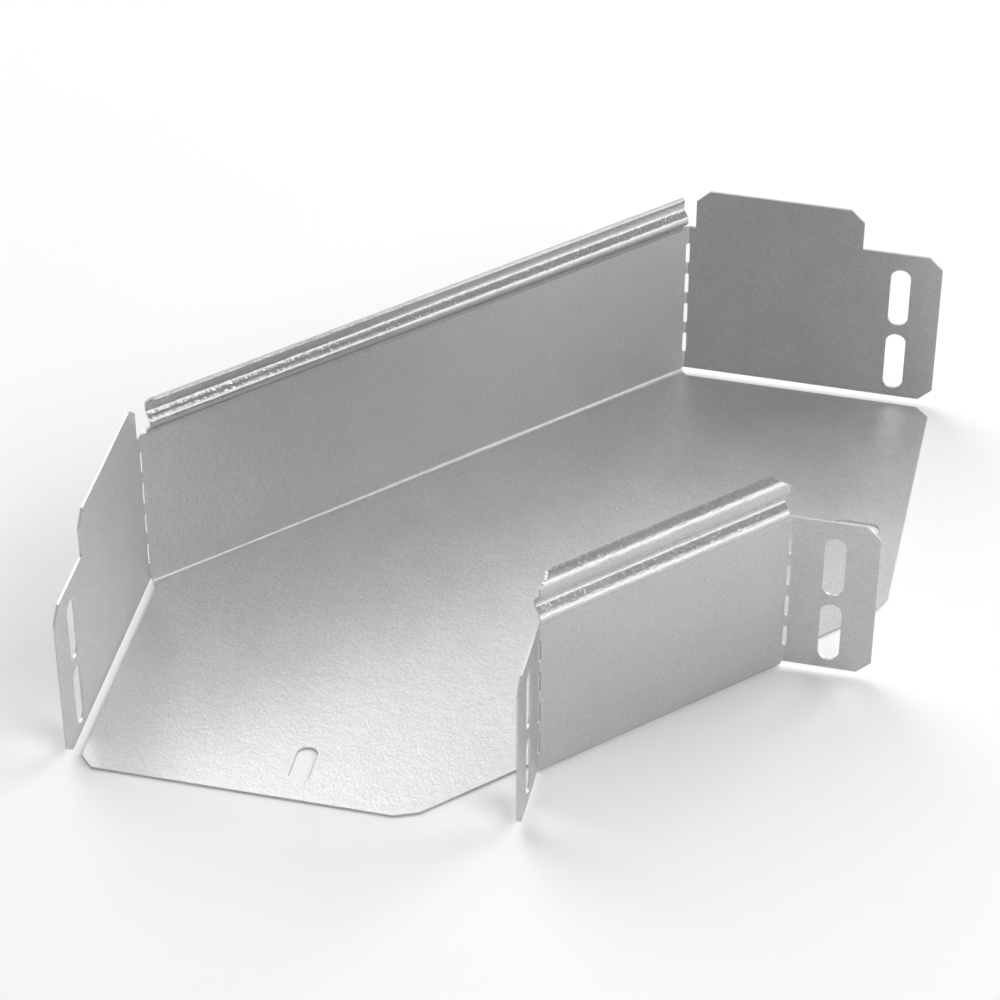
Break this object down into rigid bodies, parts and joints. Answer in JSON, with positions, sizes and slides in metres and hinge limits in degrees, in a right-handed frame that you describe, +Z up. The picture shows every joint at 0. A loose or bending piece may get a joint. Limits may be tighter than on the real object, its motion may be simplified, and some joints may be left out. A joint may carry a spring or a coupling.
{
  "type": "cable tray bend",
  "caption": "Folded galvanised sheet bend that turns a cable tray through a right angle, with rolled rims, slotted end flanges and slitted upright bends.",
  "frame": {"origin": "centre of the bounding box, on the underside of the base", "axes": "+X out along the right-hand leg, -Y out along the left-hand leg, +Z up out of the tray; the part is the same either side of the upright plane x = -y"},
  "size_m": [0.2504, 0.2504, 0.0828],
  "materials": {
    "galvanised_sheet": "galvanised, semi-gloss with a fine dimpled grain"
  },
  "bodies": {
    "root": {"tray_bend": "galvanised_sheet"}
  },
  "joints": []
}
